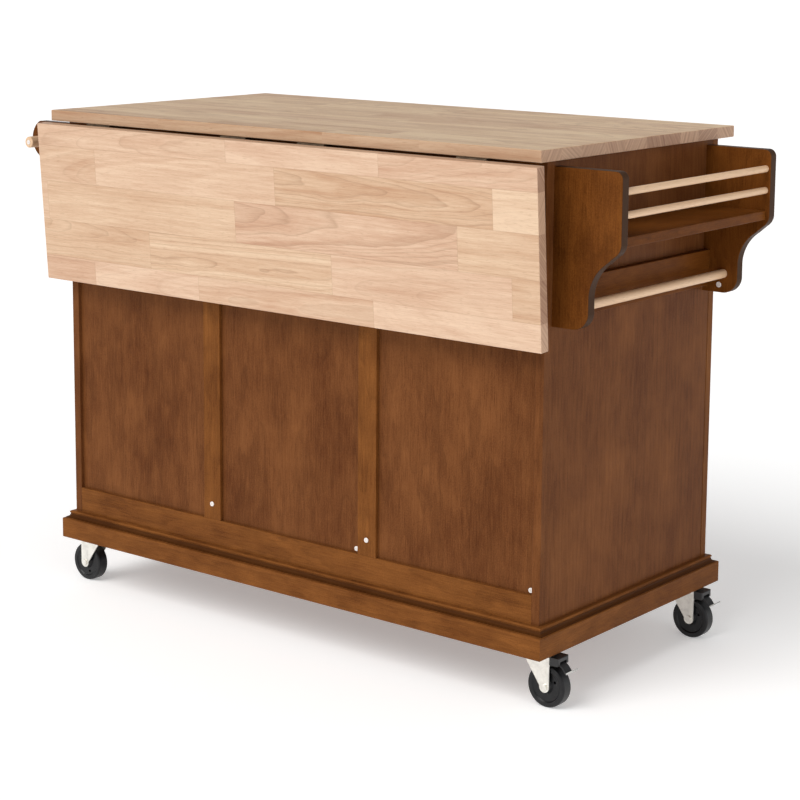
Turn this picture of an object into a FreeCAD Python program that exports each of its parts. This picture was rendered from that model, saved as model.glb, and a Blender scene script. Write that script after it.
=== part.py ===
"""Kitchen island cart: a three-bay cabinet on casters with a drop leaf, a spice rack and a towel bar.

Millimetres, +Z up. The doors and drawers face -Y, the drop leaf hangs at +Y, the spice rack is on
the -X end and the towel bar on the +X end. Left and right are as seen from the door side, so left
is -X. The origin is on the floor, at the middle of the whole cart's bounding box.
"""
import FreeCAD
import Part
import math
import os

Vec = FreeCAD.Vector

# ---------------------------------------------------------------- driving dimensions
HEIGHT = 930.0            # floor to worktop surface
TOP_LENGTH = 1124.0       # worktop along X
TOP_DEPTH = 600.0         # worktop along Y
TOP_THICK = 20.0
CAB_LENGTH = 1100.0       # cabinet along X
CAB_DEPTH = 530.0         # cabinet along Y
BOARD = 16.0              # sides, bottom, partitions and shelves
FRAME_THICK = 18.0        # face frame
PARTITION_X = 184.0       # centre of each partition and of each back mullion
PLINTH_LENGTH = 1134.0
PLINTH_DEPTH = 572.0
PLINTH_BOTTOM = 94.4
PLINTH_TOP = 132.6
PLINTH_BOARD = 16.0
EDGE = 1.2                # small rounding on exposed board edges

LEAF_LENGTH = 1146.0      # drop leaf along X
LEAF_HEIGHT = 298.0       # drop leaf, from its hinged edge to its free edge
LEAF_TILT = 4.0           # degrees that the hanging leaf leans inwards
LEAF_RAISED = 90.0        # degrees from plumb at which the leaf is level with the worktop
ARM_LENGTH = 150.0        # leaf prop, pivot to roller
ARM_SWING = 135.0         # degrees from hanging to propping

END_STILE = 30.0
MID_STILE = 44.0
TOP_RAIL = 34.0
BOTTOM_RAIL = 34.0
DRAWER_RAIL_Z = 738.0     # centre height of the rail between drawer and door
DRAWER_RAIL = 20.0
OVERLAY = 12.0            # how far a door or drawer front laps over the face frame
FRONT_THICK = 18.0
FRONT_GAP = 1.0           # air between the face frame and a closed front
DRAWER_TRAVEL = 300.0

RACK_DEPTH = 128.0        # rack bracket, out from the side panel
RACK_TOP = 900.0
RACK_BOTTOM = 641.0
BRACKET_THICK = 19.0
BRACKET_OUT_Y = 245.0     # outer face of both pairs of brackets
TOWEL_BAR_OUT = 99.0      # bar's axis, out from the side panel
TOWEL_BAR_Z = 861.5
TOWEL_BAR_REACH = BRACKET_OUT_Y + 35.0

CASTER_X = 533.0          # swivel axes
CASTER_Y = 230.0
CASTER_TRAIL = 16.0
WHEEL_R = 36.5
WHEEL_WIDTH = 23.0

# ---------------------------------------------------------------- derived places
TOP_Z = HEIGHT - TOP_THICK
HALF_L = CAB_LENGTH / 2
HALF_D = CAB_DEPTH / 2
INNER_L = HALF_L - BOARD
FRAME_Y = -HALF_D + FRAME_THICK           # back face of the face frame
CAB_Z = PLINTH_TOP
FLOOR_Z = CAB_Z + BOARD                   # upper face of the cabinet bottom
BACK_RECESS = 7.0                         # mullions and rails stand this far proud of the panels
BACK_PANEL = 5.0
PANEL_Y = HALF_D - BACK_RECESS            # outer face of the back panels
BACK_IN_Y = PANEL_Y - BACK_PANEL
PIVOT_Y = TOP_DEPTH / 2 + 3.5             # leaf hinge axis
PIVOT_Z = TOP_Z - 3.0
LEAF_FACE = TOP_Z - PIVOT_Z               # leaf underside above the axis when raised
LEAF_EDGE = 0.5                           # leaf edge past the axis, towards the worktop when raised
KNUCKLE_R = 2.8
ROLLER_R = 6.0
ARM_Y = HALF_D + 11.0
ARM_Z = TOP_Z - ROLLER_R - 0.5 + ARM_LENGTH * math.cos(math.radians(ARM_SWING))
DOOR_BACK_Y = -HALF_D - FRONT_GAP
DOOR_FACE_Y = DOOR_BACK_Y - FRONT_THICK
KNOB_REACH = 27.0
KNOB_Z = 660.0                            # door knobs, low enough to pass under an open drawer
OPEN_OUT = HALF_L - END_STILE             # outer bay opening, far edge
OPEN_IN = PARTITION_X + MID_STILE / 2     # outer bay opening, near edge
OPEN_MID = PARTITION_X - MID_STILE / 2    # half of the middle bay opening
OPEN_BOTTOM = CAB_Z + BOTTOM_RAIL
OPEN_TOP = TOP_Z - TOP_RAIL
DOOR_GAP = 3.0                            # between the two middle doors
HINGE_OUT = 4.0                           # door pivot beyond the door's edge
DOOR_PIVOT_Y = (DOOR_BACK_Y + DOOR_FACE_Y) / 2 + 1.0

# The whole cart's box is centred on the origin in Y as well as in X.
REAR_REACH = PIVOT_Y + (LEAF_FACE + TOP_THICK) * math.cos(math.radians(LEAF_TILT)) \
    + LEAF_EDGE * math.sin(math.radians(LEAF_TILT))
FRONT_REACH = -DOOR_FACE_Y + KNOB_REACH
SHIFT = Vec(0, (FRONT_REACH - REAR_REACH) / 2, 0)

X_AXIS = Vec(1, 0, 0)
Y_AXIS = Vec(0, 1, 0)
Z_AXIS = Vec(0, 0, 1)


# ---------------------------------------------------------------- helpers
def box(x0, x1, y0, y1, z0, z1):
    """Block between two corners, given as ranges."""
    low = Vec(min(x0, x1), min(y0, y1), min(z0, z1))
    return Part.makeBox(abs(x1 - x0), abs(y1 - y0), abs(z1 - z0), low)


def board(x0, x1, y0, y1, z0, z1, round_by=EDGE):
    """Block with every edge slightly rounded."""
    blank = box(x0, x1, y0, y1, z0, z1)
    return blank.makeFillet(round_by, blank.Edges)


def rod(start, end, radius):
    """Round bar from one point to another."""
    return Part.makeCylinder(radius, (end - start).Length, start, end - start)


def extrude(points, direction):
    """Prism of a closed polygon."""
    wire = Part.makePolygon(points + [points[0]])
    return Part.Face(wire).extrude(direction)


def fuse(shapes):
    """One clean solid from several touching ones."""
    return shapes[0].multiFuse(shapes[1:]).removeSplitter()


def mirror_x(shape):
    return shape.mirror(Vec(0, 0, 0), X_AXIS)


def save(name, *shapes):
    """Write one node, moved to the cart's origin."""
    moved = []
    for shape in shapes:
        placed = shape.copy()
        placed.translate(SHIFT)
        moved.append(placed)
    for solid in moved:
        if not solid.isValid():
            raise ValueError(name + " is not a valid solid")
    node = moved[0] if len(moved) == 1 else Part.makeCompound(moved)
    node.exportStep("parts/" + name + ".step")


def screw_head(centre, outward, radius=4.5, height=1.6):
    """Pan head with a cross recess, standing on a surface."""
    head = Part.makeCylinder(radius, height, centre, outward)
    head = head.makeFillet(0.9, [edge for edge in head.Edges
                                 if (edge.CenterOfMass - centre).dot(outward) > height * 0.9])
    side = Z_AXIS.cross(outward) if abs(outward.z) < 0.5 else X_AXIS
    other = outward.cross(side)
    recess = []
    for along, across in ((side, other), (other, side)):
        corner = centre + outward * (height - 0.8) - along * radius * 0.55 - across * 0.5
        recess.append(extrude([corner, corner + along * radius * 1.1,
                               corner + along * radius * 1.1 + across, corner + across], outward * 2))
    return head.cut(recess[0]).cut(recess[1])


# ---------------------------------------------------------------- worktop and carcass
def make_worktop():
    half_x = TOP_LENGTH / 2
    half_y = TOP_DEPTH / 2
    save("worktop", board(-half_x, half_x, -half_y, half_y, TOP_Z, HEIGHT, 1.5))


def make_carcass():
    for name, side in (("side_panel_left", -1), ("side_panel_right", 1)):
        save(name, board(side * INNER_L, side * HALF_L, FRAME_Y, HALF_D, CAB_Z, TOP_Z, 0.8))
    save("bottom_panel", box(-INNER_L, INNER_L, FRAME_Y, BACK_IN_Y, CAB_Z, FLOOR_Z))
    stretcher_depth = 80.0
    stretcher_z = TOP_Z - BOARD
    save("top_stretchers",
         box(-INNER_L, INNER_L, FRAME_Y, FRAME_Y + stretcher_depth, stretcher_z, TOP_Z),
         box(-INNER_L, INNER_L, BACK_IN_Y - stretcher_depth, BACK_IN_Y, stretcher_z, TOP_Z))
    partitions = []
    for side in (-1, 1):
        middle = side * PARTITION_X
        partitions.append(box(middle - BOARD / 2, middle + BOARD / 2, FRAME_Y, BACK_IN_Y,
                              FLOOR_Z, stretcher_z))
    save("partitions", *partitions)


def make_face_frame():
    frame = box(-HALF_L, HALF_L, -HALF_D, FRAME_Y, CAB_Z, TOP_Z)
    low_rail = DRAWER_RAIL_Z - DRAWER_RAIL / 2
    high_rail = DRAWER_RAIL_Z + DRAWER_RAIL / 2
    openings = [(-OPEN_MID, OPEN_MID, OPEN_BOTTOM, OPEN_TOP)]
    for side in (-1, 1):
        openings.append((side * OPEN_IN, side * OPEN_OUT, OPEN_BOTTOM, low_rail))
        openings.append((side * OPEN_IN, side * OPEN_OUT, high_rail, OPEN_TOP))
    for x0, x1, z0, z1 in openings:
        frame = frame.cut(box(x0, x1, -HALF_D - 1, FRAME_Y + 1, z0, z1))
    groove = 1.6
    for side in (-1, 1):
        frame = frame.cut(box(side * (HALF_L - 0.8), side * (HALF_L + 1),
                              FRAME_Y - groove, FRAME_Y + 1, CAB_Z - 1, TOP_Z + 1))
    save("face_frame", frame)


def make_back():
    edges = (-INNER_L, -PARTITION_X, PARTITION_X, INNER_L)
    panels = []
    for x0, x1 in zip(edges[:-1], edges[1:]):
        panels.append(box(x0, x1, BACK_IN_Y, PANEL_Y, CAB_Z, TOP_Z))
    save("back_panels", *panels)
    rail_top = 194.0
    top_rail_bottom = TOP_Z - 48.0
    save("back_rails",
         board(-INNER_L, INNER_L, PANEL_Y, HALF_D, CAB_Z, rail_top, 0.8),
         board(-INNER_L, INNER_L, PANEL_Y, HALF_D, top_rail_bottom, TOP_Z, 0.8))
    half_width = 20.5
    mullions = []
    for side in (-1, 1):
        middle = side * PARTITION_X
        mullions.append(board(middle - half_width, middle + half_width, PANEL_Y, HALF_D,
                              rail_top, top_rail_bottom, 0.8))
    save("back_mullions", *mullions)
    screws = []
    for side in (-1, 1):
        screws.append(screw_head(Vec(side * PARTITION_X, HALF_D, rail_top + 29.0), Y_AXIS))
    for x in (-PARTITION_X + half_width + 7.0, -INNER_L + 6.0):
        screws.append(screw_head(Vec(x, PANEL_Y, rail_top + 7.0), Y_AXIS))
    screws.append(screw_head(Vec(-HALF_L - 33.0, BRACKET_THICK - BRACKET_OUT_Y, 655.0), Y_AXIS, 5.0))
    screws.append(screw_head(Vec(HALF_L + TOWEL_BAR_OUT, TOWEL_BAR_REACH, TOWEL_BAR_Z), Y_AXIS))
    save("cap_screws", *screws)


def mitred_ring(half_x, half_y, section):
    """Four mitred lengths of one section: points are (out from the cabinet face, height)."""
    lengths = []
    for turn, reach, run in ((0, half_x, half_y), (90, half_y, half_x),
                             (180, half_x, half_y), (270, half_y, half_x)):
        near = [Vec(reach + out, -(run + out), z) for out, z in section]
        far = [Vec(reach + out, run + out, z) for out, z in section]
        ends = [Part.makePolygon(ring + [ring[0]]) for ring in (near, far)]
        length = Part.makeLoft(ends, True, True)
        length.rotate(Vec(0, 0, 0), Z_AXIS, turn)
        lengths.append(length)
    return lengths


def make_base():
    half_x = PLINTH_LENGTH / 2 - PLINTH_BOARD
    half_y = PLINTH_DEPTH / 2 - PLINTH_BOARD
    lip = 1.0
    fascia = [(0, PLINTH_BOTTOM), (PLINTH_BOARD - lip, PLINTH_BOTTOM),
              (PLINTH_BOARD, PLINTH_BOTTOM + lip), (PLINTH_BOARD, PLINTH_TOP - lip),
              (PLINTH_BOARD - lip, PLINTH_TOP), (0, PLINTH_TOP)]
    save("plinth_boards", *mitred_ring(half_x, half_y, fascia))
    # Bead on top, a small step, then a hollow curve down to a foot.
    top = PLINTH_TOP + 13.4
    moulding = [(0, PLINTH_TOP), (14.0, PLINTH_TOP), (14.0, PLINTH_TOP + 1.6)]
    hollow_steps = 6
    for step in range(1, hollow_steps + 1):
        angle = math.radians(90.0 * step / hollow_steps)
        moulding.append((14.0 - 6.0 * math.sin(angle),
                         PLINTH_TOP + 1.6 + 6.0 * (1 - math.cos(angle))))
    bead_steps = 8
    bead_r = 2.6
    for step in range(1, bead_steps + 1):
        angle = math.radians(-90.0 + 180.0 * step / bead_steps)
        moulding.append((6.4 + bead_r * math.cos(angle), top - bead_r + bead_r * math.sin(angle)))
    moulding.append((0, top))
    save("base_moulding", *mitred_ring(HALF_L, HALF_D, moulding))
    blocks = []
    size = 60.0
    for side_x in (-1, 1):
        for side_y in (-1, 1):
            block = box(side_x * half_x, side_x * (half_x - size), side_y * half_y,
                        side_y * (half_y - size), PLINTH_BOTTOM, PLINTH_TOP)
            hole = rod(Vec(side_x * CASTER_X, side_y * CASTER_Y, PLINTH_BOTTOM - 1),
                       Vec(side_x * CASTER_X, side_y * CASTER_Y, PLINTH_TOP - 5), 5.05)
            blocks.append(block.cut(hole))
    save("corner_blocks", *blocks)


def make_shelves():
    front_y = FRAME_Y + 6.0
    back_y = BACK_IN_Y - 3.0
    side_gap = 1.0
    outer = (PARTITION_X + BOARD / 2 + side_gap, INNER_L - side_gap)
    middle = (-PARTITION_X + BOARD / 2 + side_gap, PARTITION_X - BOARD / 2 - side_gap)
    places = [(middle, 392.0), (middle, 636.0), (outer, 430.0), ((-outer[1], -outer[0]), 430.0)]
    shelves = []
    pins = []
    pin_r = 2.5
    for (x0, x1), z in places:
        shelves.append(board(x0, x1, front_y, back_y, z, z + BOARD, 0.8))
        for x, inward in ((x0 - side_gap, 1), (x1 + side_gap, -1)):
            for y in (front_y + 45.0, back_y - 45.0):
                pins.append(rod(Vec(x, y, z - pin_r), Vec(x + inward * 8.0, y, z - pin_r), pin_r))
    save("shelves", *shelves)
    save("shelf_pins", *pins)


# ---------------------------------------------------------------- drawers
RUNNER_Y0 = FRAME_Y + 4.0
RUNNER_Y1 = RUNNER_Y0 + 400.0
RUNNER_Z = DRAWER_RAIL_Z + DRAWER_RAIL / 2 + 62.0
BOX_SIDE_IN = OPEN_IN + 13.0
BOX_SIDE_OUT = OPEN_OUT - 13.0


def runner_pair(inside, outside):
    """Fixed channel and sliding bar between a cabinet wall and a drawer side."""
    way = 1 if outside > inside else -1
    spacer = inside + way * 14.5
    web = spacer + way * 1.5
    lip = outside - way * 3.0
    half = 15.0
    fixed = fuse([box(inside, web, RUNNER_Y0, RUNNER_Y1, RUNNER_Z - half, RUNNER_Z + half),
                  box(web, lip, RUNNER_Y0, RUNNER_Y1, RUNNER_Z - half, RUNNER_Z - half + 2.0),
                  box(web, lip, RUNNER_Y0, RUNNER_Y1, RUNNER_Z + half - 2.0, RUNNER_Z + half)])
    slide = box(web + way * 1.0, outside, RUNNER_Y0 + 2.0, RUNNER_Y1 - 2.0,
                RUNNER_Z - 10.0, RUNNER_Z + 10.0)
    return fixed, slide


def knob(x, z):
    """Turned knob with a stem and a domed head, facing -Y."""
    rim_r = 12.5
    rim_y = -24.0
    dome_r = ((rim_r ** 2) + (rim_y + KNOB_REACH) ** 2) / (2 * (rim_y + KNOB_REACH))
    centre_y = dome_r - KNOB_REACH
    stem = [Vec(0, 0, 0), Vec(9.0, 0, 0), Vec(9.0, -2.0, 0), Vec(6.0, -4.0, 0),
            Vec(5.2, -9.0, 0), Vec(6.5, -13.0, 0)]
    edges = [Part.makeLine(a, b) for a, b in zip(stem[:-1], stem[1:])]
    edges.append(Part.Arc(stem[-1], Vec(15.5, -18.5, 0), Vec(rim_r, rim_y, 0)).toShape())
    half_x = rim_r / 2
    middle = Vec(half_x, centre_y - math.sqrt(dome_r ** 2 - half_x ** 2), 0)
    edges.append(Part.Arc(Vec(rim_r, rim_y, 0), middle, Vec(0, -KNOB_REACH, 0)).toShape())
    edges.append(Part.makeLine(Vec(0, -KNOB_REACH, 0), Vec(0, 0, 0)))
    turned = Part.Face(Part.Wire(edges)).revolve(Vec(0, 0, 0), Y_AXIS, 360)
    turned.translate(Vec(x, DOOR_FACE_Y, z))
    return turned


def raised_front(x0, x1, z0, z1):
    """Slab front with a shallow sunk field and a rounded outer edge."""
    slab = board(x0, x1, DOOR_FACE_Y, DOOR_BACK_Y, z0, z1, 2.0)
    border = 34.0
    sunk = 4.0
    field = box(x0 + border, x1 - border, DOOR_FACE_Y - 1, DOOR_FACE_Y + sunk, z0 + border, z1 - border)
    return slab.cut(field)


def make_drawers():
    wall = 12.0
    bottom = 6.0
    box_z0 = DRAWER_RAIL_Z + DRAWER_RAIL / 2 + 8.0
    box_z1 = box_z0 + 100.0
    box_y1 = RUNNER_Y1 + 12.0
    front_z0 = DRAWER_RAIL_Z + 3.0
    front_z1 = OPEN_TOP + OVERLAY
    fixed = []
    for name, side in (("left", -1), ("right", 1)):
        x_in = BOX_SIDE_IN
        x_out = BOX_SIDE_OUT
        tray = box(x_in, x_out, DOOR_BACK_Y, box_y1, box_z0, box_z1)
        tray = tray.cut(box(x_in + wall, x_out - wall, DOOR_BACK_Y + wall, box_y1 - wall,
                            box_z0 + bottom, box_z1 + 1))
        near_fixed, near_slide = runner_pair(PARTITION_X + BOARD / 2, x_in)
        far_fixed, far_slide = runner_pair(INNER_L, x_out)
        front = raised_front(OPEN_IN - OVERLAY, OPEN_OUT + OVERLAY, front_z0, front_z1)
        middle_x = (OPEN_IN + OPEN_OUT) / 2
        pull = knob(middle_x, (front_z0 + front_z1) / 2)
        pull.translate(Vec(0, 4.0, 0))
        pieces = [front, tray, near_fixed, far_fixed, near_slide, far_slide, pull]
        if side < 0:
            pieces = [mirror_x(piece) for piece in pieces]
        front, tray, near_fixed, far_fixed, near_slide, far_slide, pull = pieces
        fixed += [near_fixed, far_fixed]
        save("drawer_front_" + name, front)
        save("drawer_box_" + name, tray)
        save("drawer_hardware_" + name, near_slide, far_slide, pull)
    save("drawer_runners", *fixed)


# ---------------------------------------------------------------- doors
def door_frame(x0, x1, z0, z1):
    """Stiles and rails with a groove that holds the panel."""
    member = 52.0
    frame = board(x0, x1, DOOR_FACE_Y, DOOR_BACK_Y, z0, z1, 2.0)
    frame = frame.cut(box(x0 + member, x1 - member, DOOR_FACE_Y - 1, DOOR_BACK_Y + 1,
                          z0 + member, z1 - member))
    groove = 8.0
    return frame.cut(box(x0 + member - groove, x1 - member + groove, DOOR_FACE_Y + 6.0,
                         DOOR_FACE_Y + 12.2, z0 + member - groove, z1 - member + groove))


def door_panel(x0, x1, z0, z1):
    """Flat tongue with a raised field in front."""
    reach = 52.0 - 7.0
    field = 52.0 + 20.0
    slope = 6.0
    tongue = box(x0 + reach, x1 - reach, DOOR_FACE_Y + 6.1, DOOR_FACE_Y + 12.1, z0 + reach, z1 - reach)
    rings = []
    for y, inset in ((DOOR_FACE_Y + 6.1, field - slope), (DOOR_FACE_Y + 2.0, field)):
        corners = [Vec(x0 + inset, y, z0 + inset), Vec(x1 - inset, y, z0 + inset),
                   Vec(x1 - inset, y, z1 - inset), Vec(x0 + inset, y, z1 - inset)]
        rings.append(Part.makePolygon(corners + [corners[0]]))
    return fuse([tongue, Part.makeLoft(rings, True, True)])


def hinge_pair(edge_x, way, heights):
    """Fixed and moving halves of a door's two hinges; way is +1 when the door lies towards +X."""
    pivot_x = edge_x - way * HINGE_OUT
    barrel_r = 3.0
    pin_r = 1.4
    sheet = 1.2
    fixed = []
    moving = []
    for z in heights:
        def barrel(z0, z1, bore):
            tube = rod(Vec(pivot_x, DOOR_PIVOT_Y, z0), Vec(pivot_x, DOOR_PIVOT_Y, z1), barrel_r)
            return tube.cut(rod(Vec(pivot_x, DOOR_PIVOT_Y, z0 - 1),
                                Vec(pivot_x, DOOR_PIVOT_Y, z1 + 1), bore))
        plate_back = -HALF_D - sheet
        foot = box(pivot_x - way * 13.0, pivot_x - way * 1.2, plate_back, -HALF_D, z - 22.0, z + 22.0)
        for z0, z1 in ((z - 22.0, z - 10.2), (z + 10.2, z + 22.0)):
            web = box(pivot_x - way * 2.6, pivot_x - way * 1.4, DOOR_PIVOT_Y, -HALF_D, z0, z1)
            hollow = rod(Vec(pivot_x, DOOR_PIVOT_Y, z0 - 1), Vec(pivot_x, DOOR_PIVOT_Y, z1 + 1), pin_r)
            foot = fuse([foot, barrel(z0, z1, pin_r), web.cut(hollow)])
        pin = rod(Vec(pivot_x, DOOR_PIVOT_Y, z - 23.0), Vec(pivot_x, DOOR_PIVOT_Y, z + 23.0), pin_r)
        fixed.append(fuse([foot, pin]))
        arm = box(pivot_x + way * 1.2, edge_x, DOOR_PIVOT_Y - 0.6, DOOR_PIVOT_Y + 0.6, z - 10.0, z + 10.0)
        hollow = rod(Vec(pivot_x, DOOR_PIVOT_Y, z - 11), Vec(pivot_x, DOOR_PIVOT_Y, z + 11), pin_r + 0.05)
        moving.append(fuse([barrel(z - 10.0, z + 10.0, pin_r + 0.05), arm.cut(hollow)]))
    return fixed, moving


def make_doors():
    z0 = OPEN_BOTTOM - OVERLAY
    short_top = DRAWER_RAIL_Z - 3.0
    tall_top = OPEN_TOP + OVERLAY
    outer = (OPEN_IN - OVERLAY, OPEN_OUT + OVERLAY)
    inner = (DOOR_GAP / 2, OPEN_MID + OVERLAY)
    hinge_inset = 90.0
    knob_inset = 26.0
    leaves = []
    for name, (x0, x1), z1 in (("outer", outer, short_top), ("middle", inner, tall_top)):
        frame = door_frame(x0, x1, z0, z1)
        panel = door_panel(x0, x1, z0, z1)
        fixed, moving = hinge_pair(x1, -1, (z0 + hinge_inset, z1 - hinge_inset))
        moving.append(knob(x0 + knob_inset, KNOB_Z))
        for side_name, side in (("left", -1), ("right", 1)):
            door = name + "_" + side_name
            save("door_frame_" + door, frame if side > 0 else mirror_x(frame))
            save("door_panel_" + door, panel if side > 0 else mirror_x(panel))
            save("door_hardware_" + door, *[piece if side > 0 else mirror_x(piece) for piece in moving])
            leaves += [piece if side > 0 else mirror_x(piece) for piece in fixed]
    save("door_hinge_plates", *leaves)


# ---------------------------------------------------------------- drop leaf and its props
def tilt(shape):
    """Turn a plumb leaf part to the leaning rest position."""
    turned = shape.copy()
    turned.rotate(Vec(0, PIVOT_Y, PIVOT_Z), X_AXIS, -LEAF_TILT)
    return turned


def make_leaf():
    inner_y = PIVOT_Y + LEAF_FACE
    half_x = LEAF_LENGTH / 2
    slab = board(-half_x, half_x, inner_y, inner_y + TOP_THICK, PIVOT_Z + LEAF_EDGE - LEAF_HEIGHT,
                 PIVOT_Z + LEAF_EDGE, 1.5)
    save("drop_leaf", tilt(slab))
    fixed = []
    moving = []
    half = 30.0
    pin_r = 1.3
    thick = 2.0
    split = 10.0
    for x in (-430.0, -90.0, 90.0, 430.0):
        def tube(x0, x1, bore):
            outer = rod(Vec(x0, PIVOT_Y, PIVOT_Z), Vec(x1, PIVOT_Y, PIVOT_Z), KNUCKLE_R)
            return outer.cut(rod(Vec(x0 - 1, PIVOT_Y, PIVOT_Z), Vec(x1 + 1, PIVOT_Y, PIVOT_Z), bore))
        clear = rod(Vec(x - half - 1, PIVOT_Y, PIVOT_Z), Vec(x + half + 1, PIVOT_Y, PIVOT_Z), pin_r)
        room = rod(Vec(x - split, PIVOT_Y, PIVOT_Z), Vec(x + split, PIVOT_Y, PIVOT_Z), KNUCKLE_R + 0.3)
        plate = box(x - half, x + half, HALF_D + 4.0, PIVOT_Y - 1.0, TOP_Z - thick, TOP_Z)
        ends = [tube(x - half, x - split, pin_r), tube(x + split, x + half, pin_r)]
        pin = rod(Vec(x - half, PIVOT_Y, PIVOT_Z), Vec(x + half, PIVOT_Y, PIVOT_Z), pin_r)
        fixed.append(fuse([plate.cut(room).cut(clear)] + ends + [pin]))
        wing = box(x - split + 0.3, x + split - 0.3, inner_y - thick, inner_y, PIVOT_Z - 8.0, PIVOT_Z)
        flap = box(x - half, x + half, inner_y - thick, inner_y, PIVOT_Z - 36.0, PIVOT_Z - 4.5)
        bore = rod(Vec(x - half, PIVOT_Y, PIVOT_Z), Vec(x + half, PIVOT_Y, PIVOT_Z), pin_r + 0.05)
        middle = tube(x - split + 0.3, x + split - 0.3, pin_r + 0.05)
        moving.append(tilt(fuse([middle, wing.cut(bore), flap])))
    save("worktop_hinge_plates", *fixed)
    save("leaf_hinge_plates", *moving)


def make_props():
    ear_gap = 9.3
    ear = 2.0
    pin_r = 3.0
    brackets = []
    for name, side in (("left", -1), ("right", 1)):
        x = side * PARTITION_X
        base = box(x - 15.0, x + 15.0, HALF_D, HALF_D + 2.0, ARM_Z - 28.0, ARM_Z + 28.0)
        shapes = [base]
        for way in (-1, 1):
            near = x + way * ear_gap
            far = x + way * (ear_gap + ear)
            cheek = extrude([Vec(near, HALF_D, ARM_Z - 9.0), Vec(near, HALF_D, ARM_Z + 9.0),
                             Vec(near, ARM_Y, ARM_Z + 7.0), Vec(near, ARM_Y + 6.0, ARM_Z + 3.0),
                             Vec(near, ARM_Y + 6.0, ARM_Z - 3.0), Vec(near, ARM_Y, ARM_Z - 7.0)],
                            Vec(far - near, 0, 0))
            shapes.append(cheek)
        reach = ear_gap + ear + 1.5
        shapes.append(rod(Vec(x - reach, ARM_Y, ARM_Z), Vec(x + reach, ARM_Y, ARM_Z), pin_r))
        brackets.append(fuse(shapes))
        bore = rod(Vec(x - 20, ARM_Y, ARM_Z), Vec(x + 20, ARM_Y, ARM_Z), pin_r + 0.05)
        half = 9.0
        foot_z = ARM_Z - ARM_LENGTH
        bar = fuse([rod(Vec(x - half, ARM_Y, ARM_Z), Vec(x + half, ARM_Y, ARM_Z), 6.0),
                    rod(Vec(x - half, ARM_Y, foot_z), Vec(x + half, ARM_Y, foot_z), ROLLER_R),
                    box(x - half, x + half, ARM_Y - 3.5, ARM_Y + 3.5, foot_z, ARM_Z)])
        save("leaf_prop_" + name, bar.cut(bore))
    save("prop_brackets", *brackets)


# ---------------------------------------------------------------- spice rack and towel bar
def rack_outline(y):
    """Bracket outline in the plane at y: x runs out from the side panel."""
    def at(out, z):
        return Vec(-HALF_L - out, y, z)
    deep = RACK_DEPTH
    waist = deep - 12.0
    narrow = deep - 59.0
    corner = 13.0
    foot = 24.0
    high = Part.Arc(at(deep - corner, RACK_TOP), at(deep - corner * 0.293, RACK_TOP - corner * 0.293),
                    at(deep, RACK_TOP - corner)).toShape()
    shoulder = Part.Arc(at(deep, 784.0), at(deep - 3.5, 773.5), at(waist, 765.0)).toShape()
    throat = Part.Arc(at(waist - 16.0, 751.5), at(narrow + 9.0, 727.5), at(narrow, 697.0)).toShape()
    low = Part.Arc(at(narrow, 667.0), at(narrow - 8.5, 649.5), at(narrow - foot - 7, RACK_BOTTOM)).toShape()
    lines = [Part.makeLine(at(0, RACK_TOP), at(deep - corner, RACK_TOP)),
             Part.makeLine(at(deep, RACK_TOP - corner), at(deep, 784.0)),
             Part.makeLine(at(waist, 765.0), at(waist - 16.0, 751.5)),
             Part.makeLine(at(narrow, 697.0), at(narrow, 667.0)),
             Part.makeLine(at(narrow - foot - 7, RACK_BOTTOM), at(0, RACK_BOTTOM)),
             Part.makeLine(at(0, RACK_BOTTOM), at(0, RACK_TOP))]
    order = [lines[0], high, lines[1], shoulder, lines[2], throat, lines[3], low, lines[4], lines[5]]
    return Part.Face(Part.Wire(order))


def outer_edges(shape, x_limit, normal_y):
    """Edges of a bracket's two flat faces, away from the side panel."""
    chosen = []
    for edge in shape.Edges:
        across = abs(edge.Vertexes[0].Point.y - edge.Vertexes[-1].Point.y)
        if across < normal_y and abs(edge.CenterOfMass.x) > x_limit:
            chosen.append(edge)
    return chosen


def make_rack():
    inner_y = BRACKET_OUT_Y - BRACKET_THICK
    brackets = []
    for y in (inner_y, -BRACKET_OUT_Y):
        plate = rack_outline(y).extrude(Vec(0, BRACKET_THICK, 0))
        brackets.append(plate.makeFillet(1.5, outer_edges(plate, HALF_L + 1.0, 1.0)))
    save("rack_brackets", *brackets)
    shelf_top = 794.0
    save("rack_shelf", board(-HALF_L, 7.0 - HALF_L - RACK_DEPTH, -inner_y, inner_y,
                              shelf_top - BOARD, shelf_top, 1.0))
    rod_x = 10.0 - HALF_L - RACK_DEPTH
    rails = []
    for z in (866.5, 829.0):
        rails.append(rod(Vec(rod_x, -inner_y, z), Vec(rod_x, inner_y, z), 6.0))
    save("rack_guard_rods", *rails)
    towel_x = -HALF_L - 41.0
    save("rack_towel_rod", rod(Vec(towel_x, -inner_y, 675.5), Vec(towel_x, inner_y, 675.5), 8.0))
    save("rack_back_rail", board(-HALF_L, -HALF_L - 14.0, -inner_y, inner_y, 652.0, 716.0, 1.0))


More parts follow.
